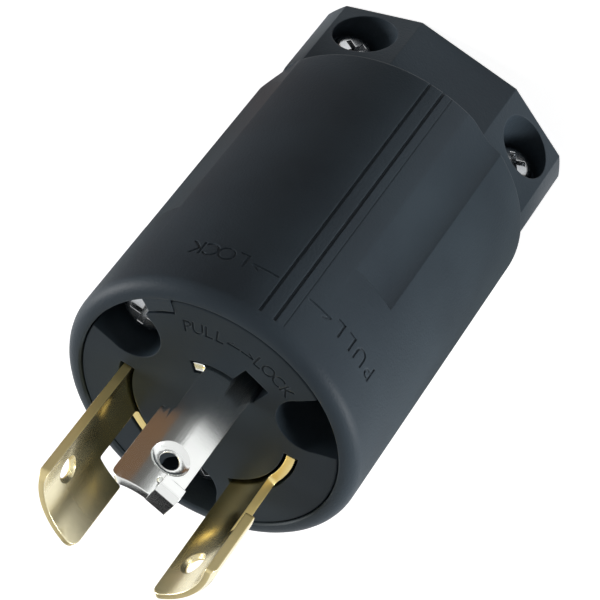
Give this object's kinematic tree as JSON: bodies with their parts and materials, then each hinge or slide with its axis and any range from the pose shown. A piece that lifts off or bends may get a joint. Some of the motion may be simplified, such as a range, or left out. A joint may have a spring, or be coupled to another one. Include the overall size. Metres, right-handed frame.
{
  "type": "locking power plug",
  "caption": "Round twist-lock power plug with hooked brass line blades, a hooked earth blade with a bent tab, finger grips and a faceted tail with a cord clamp.",
  "frame": {"origin": "centre of the flat end face of the tail, where the cord enters; the plug stands on this face", "axes": "+Z along the plug's axis towards the blades; -Y is the top side with the rib and the clamp screws; +X completes the frame"},
  "size_m": [0.0386, 0.0386, 0.0778],
  "materials": {
    "housing": "moulded, satin",
    "insert": "moulded, fine matt",
    "carrier": "moulded",
    "brass": "satin, stamped",
    "nickel": "nickel plated, satin",
    "screw": "zinc plated",
    "bush": "turned",
    "saddle": "moulded"
  },
  "bodies": {
    "root": {"cover": "housing", "insert": "insert", "terminal_carrier": "carrier", "line_blade_1": "brass", "line_blade_2": "brass", "earth_blade": "nickel", "terminal_screw_1": "screw", "terminal_clamp_1": "screw", "assembly_screw_1": "screw", "threaded_bush_1": "bush", "terminal_screw_2": "screw", "terminal_clamp_2": "screw", "assembly_screw_2": "screw", "threaded_bush_2": "bush", "terminal_screw_3": "screw", "terminal_clamp_3": "screw", "assembly_screw_3": "screw", "threaded_bush_3": "bush", "clamp_screw_1": "screw", "clamp_nut_1": "screw", "clamp_screw_2": "screw", "clamp_nut_2": "screw", "cord_saddle": "saddle"}
  },
  "joints": []
}
